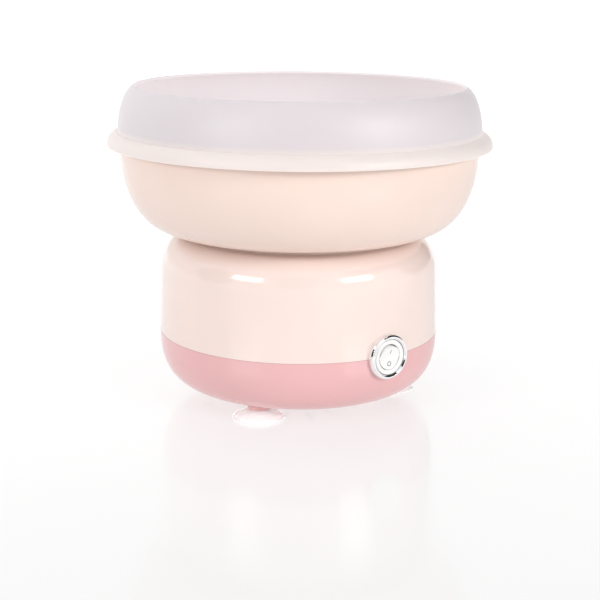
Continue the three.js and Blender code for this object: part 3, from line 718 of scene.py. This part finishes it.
# ---------- bowl and guard ----------
def bowl():
    """The wide bowl: a raised floor with a collar, and a rolled lip."""
    base_radius, rim_radius, fullness = 82.9, 126.4, 2.45
    floor_top = BOWL_BASE_Z + 2.3
    raised = BOWL_BASE_Z + 2.6
    rim_z = BOWL_RIM_Z + 0.9
    outside = quarter(base_radius, BOWL_BASE_Z, rim_radius, rim_z, fullness, 40)
    inside = quarter(base_radius - 1.4, floor_top, rim_radius - 2.2, rim_z, fullness, 40)
    lip_top = quarter(rim_radius - 1.6, 189, rim_radius + 6, 183.4, 2, 10)
    lip_under = quarter(rim_radius - 1.4, 186.9, rim_radius + 4, 183.4, 2, 8)
    outside = [p for p in outside if p[1] < 185.5]
    inside = [p for p in inside if p[1] < 187.5]
    shell = turned("peach_bowl", soft([
        (44, raised, 0.4), (58, raised, 0.4), (60, BOWL_BASE_Z, 0.4), *reversed(outside),
        *reversed(lip_under), *lip_top, *inside,
        (62, floor_top, 1.0), (60, raised + 2.2, 0.8), (46.2, raised + 2.2, 1.2),
        (46.2, 130, 0.8), (44, 130, 0.8),
    ]), FINE)
    return dress(shell, "bowl_plastic", "bowl", "bowl")


def splash_guard():
    """The frosted hood: a wall that leans in to an open mouth, and a bead that hooks over the bowl."""
    foot_radius, foot_z, mouth_radius, wall = 127.6, 190.2, 114.2, 1.8
    top = GUARD_TOP_Z
    outside = quarter(mouth_radius - 1.2, top + 0.3, foot_radius, foot_z, 2, 48)
    outside = [p for p in outside if p[0] > 116.6]
    inside = quarter(mouth_radius - 1.2, top - 1.5, foot_radius - wall, foot_z, 2, 48)
    inside = [p for p in inside if p[0] > 115.8]
    flange = quarter(foot_radius, 191.4, GUARD_RADIUS, FLANGE_Z + 0.6, 2, 16)
    flange_inside = quarter(foot_radius - wall, 189.5, GUARD_RADIUS - wall, FLANGE_Z + 0.6, 2, 14)
    shell = turned("frosted_guard", soft([
        (GUARD_RADIUS, FLANGE_Z, 0.5), *flange, *outside[1:],
        (115.6, top - 0.25, 0.7), (115.0, top - 1.8, 0.6),
        *reversed(inside), *reversed(flange_inside), (GUARD_RADIUS - wall, FLANGE_Z, 0.5),
    ]), FINE)
    return dress(shell, "milky_plastic", "guard", "splash_guard")


# ---------- heater and head ----------
def heater_tray():
    """The bright reflector that lines the well."""
    tray = turned("spun_tray", soft([
        (10, 104.1, 0.3), (40.4, 104.1, 1.2), (46, 109.2, 1.2), (46.2, 122, 0.4), (TRAY_RADIUS, 122, 0.2),
        (TRAY_RADIUS, TRAY_TOP_Z, 0.3), (45.2, TRAY_TOP_Z, 1.0), (45, 109.5, 1.4), (40, 105, 1.4),
        (10.8, 105, 0.6), (10.8, 112, 0.3), (10, 112, 0.3),
    ]), MEDIUM)
    dress(tray, "aluminium", "base", "heater_tray")


def heating_element():
    """A sheathed ring with two legs, swept along the same route as the design."""
    radius, level = 27.0, 113.2
    curve = bpy.data.curves.new("ring_element", "CURVE")
    curve.dimensions = "3D"
    curve.bevel_depth = 3 * MM
    curve.bevel_resolution = 8
    curve.use_fill_caps = True
    route = [polar(radius, 196, z) for z in (96, 102, 108)] + [polar(radius, 197, 112)]
    route += [polar(radius, angle, level) for angle in range(204, 517, 24)]
    route += [polar(radius, 163, 112)] + [polar(radius, 164, z) for z in (108, 102, 96)]
    spline = curve.splines.new("BEZIER")
    spline.bezier_points.add(len(route) - 1)
    for point, at in zip(spline.bezier_points, route):
        point.co = Vector(at) * MM
        point.handle_left_type = point.handle_right_type = "AUTO"
    spline.resolution_u = 10
    holder = bpy.data.objects.new("ring_element", curve)
    bpy.context.scene.collection.objects.link(holder)
    graph = bpy.context.evaluated_depsgraph_get()
    mesh = bpy.data.meshes.new_from_object(holder.evaluated_get(graph))
    bpy.data.objects.remove(holder)
    element = bpy.data.objects.new("ring_element", mesh)
    bpy.context.scene.collection.objects.link(element)
    shade(element, math.radians(60))
    dress(element, "element_steel", "base", "heating_element")


def insulators():
    """Three ceramic posts under the element."""
    for index in (1, 2, 3):
        node = f"heater_insulator_{index}"
        radius, low, high = extent(node)
        at = centre(node)
        post = turned(f"ceramic_post_{index}", soft([
            (0, low), (radius, low, 0.3), (radius, low + 1.5, 0.3), (radius - 0.7, low + 1.9),
            (radius - 0.7, high - 1.9), (radius, high - 1.5, 0.3), (radius, high, 0.3), (0, high),
        ]), SMALL, place((at.x, at.y, 0)))
        dress(post, "ceramic", "base", node)


def head_dish():
    """The spinning head's flat floor."""
    z = HEAD_FLOOR_Z
    dish = turned("spun_dish", soft([
        (5.8, z, 0.2), (HEAD_RADIUS, z, 0.4), (HEAD_RADIUS, z + 1, 0.4), (5.8, z + 1, 0.2),
    ]), MEDIUM)
    dress(dish, "aluminium", "head", "floss_head_dish")


def head_cover():
    """The slotted band and domed cover with its sugar funnel, made from one sheet and thickened."""
    outline = [
        (HEAD_RADIUS, 121.8), (HEAD_RADIUS, 124.6), (HEAD_RADIUS, 130.9), (HEAD_RADIUS, 137.2),
        (HEAD_RADIUS - 0.3, 138.3), (HEAD_RADIUS - 1.6, 139.5), (30, 140.8), (24, 143.6), (19.6, 145.7),
        (18.2, 146.0), (17.3, 145.3), (17.0, 144.0), (17.0, 142.6),
    ]
    cells = 48
    bm = bmesh.new()
    rings = [[bm.verts.new((r * MM * math.cos(a), r * MM * math.sin(a), z * MM))
              for a in (2 * math.pi * k / cells for k in range(cells))] for r, z in outline]
    windows = []
    for row, (ring, other) in enumerate(zip(rings, rings[1:])):
        for k in range(cells):
            nxt = (k + 1) % cells
            face = bm.faces.new((ring[k], ring[nxt], other[nxt], other[k]))
            if row in (1, 2):
                windows.append(face)
    bm.normal_update()
    bmesh.ops.inset_individual(bm, faces=windows, thickness=0.75 * MM)
    bmesh.ops.delete(bm, geom=windows, context="FACES")
    cover = finish_mesh("slotted_cover", bm)
    sheet = cover.modifiers.new("sheet", "SOLIDIFY")
    sheet.thickness = 0.9 * MM
    sheet.offset = -1
    sheet.use_even_offset = True
    smooth = cover.modifiers.new("smooth", "SUBSURF")
    smooth.levels = smooth.render_levels = 2
    graph = bpy.context.evaluated_depsgraph_get()
    made = bpy.data.meshes.new_from_object(cover.evaluated_get(graph))
    cover.modifiers.clear()
    cover.data = made
    shade(cover, math.radians(50))
    dress(cover, "aluminium", "head", "floss_head_cover")


def head_hub():
    """The hub, slotted for the drive pin."""
    bore = 3.3
    top = HEAD_FLOOR_Z - 0.3
    hub = turned("turned_hub", soft([
        (bore, 116.2, 0.3), (9.5, 116.2, 0.6), (9.5, top, 0.4), (5.5, top),
        (5.5, 126, 0.6), (bore, 126, 0.3),
    ]), MEDIUM)
    boolean(hub, [block("tool", (-10, -1.5, 115), (10, 1.5, 118.9))])
    dress(hub, "brass", "head", "floss_head_hub")


def shaft_and_pin():
    """The drive shaft and the pin across it."""
    radius, low, high = extent("drive_shaft")
    shaft = turned("turned_shaft", soft([
        (0, low), (radius, low, 0.3), (radius, high - 1, 0.3), (radius - 1, high, 0.2), (0, high),
    ]), SMALL)
    dress(shaft, "steel", "rotor", "drive_shaft")
    low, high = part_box("drive_pin")
    reach = high.x / MM
    across = Matrix.Translation((0, 0, (low.z + high.z) / 2)) @ Matrix.Rotation(math.pi / 2, 4, "Y")
    pin = turned("cross_pin", soft([
        (0, -reach), (1.1, -reach, 0.25), (1.1, reach, 0.25), (0, reach),
    ]), SMALL, across)
    dress(pin, "steel", "rotor", "drive_pin")


# ---------- CAD nodes that stay, with their real materials ----------
def dress_kept_nodes():
    """Gives every CAD mesh its record's material."""
    slots = {part["node"]: part["material_slot"] for part in frame["record"]["subparts"]}
    for name, node in frame["nodes"].items():
        node.data.materials.clear()
        node.data.materials.append(MATERIALS[slots[name]])


dress_kept_nodes()
upper_housing()
lower_housing()
suction_feet()
screws()
cable_gland()
switch_bezel()
switch_body()
switch_rocker()
bowl()
splash_guard()
heater_tray()
heating_element()
insulators()
head_dish()
head_cover()
head_hub()
shaft_and_pin()
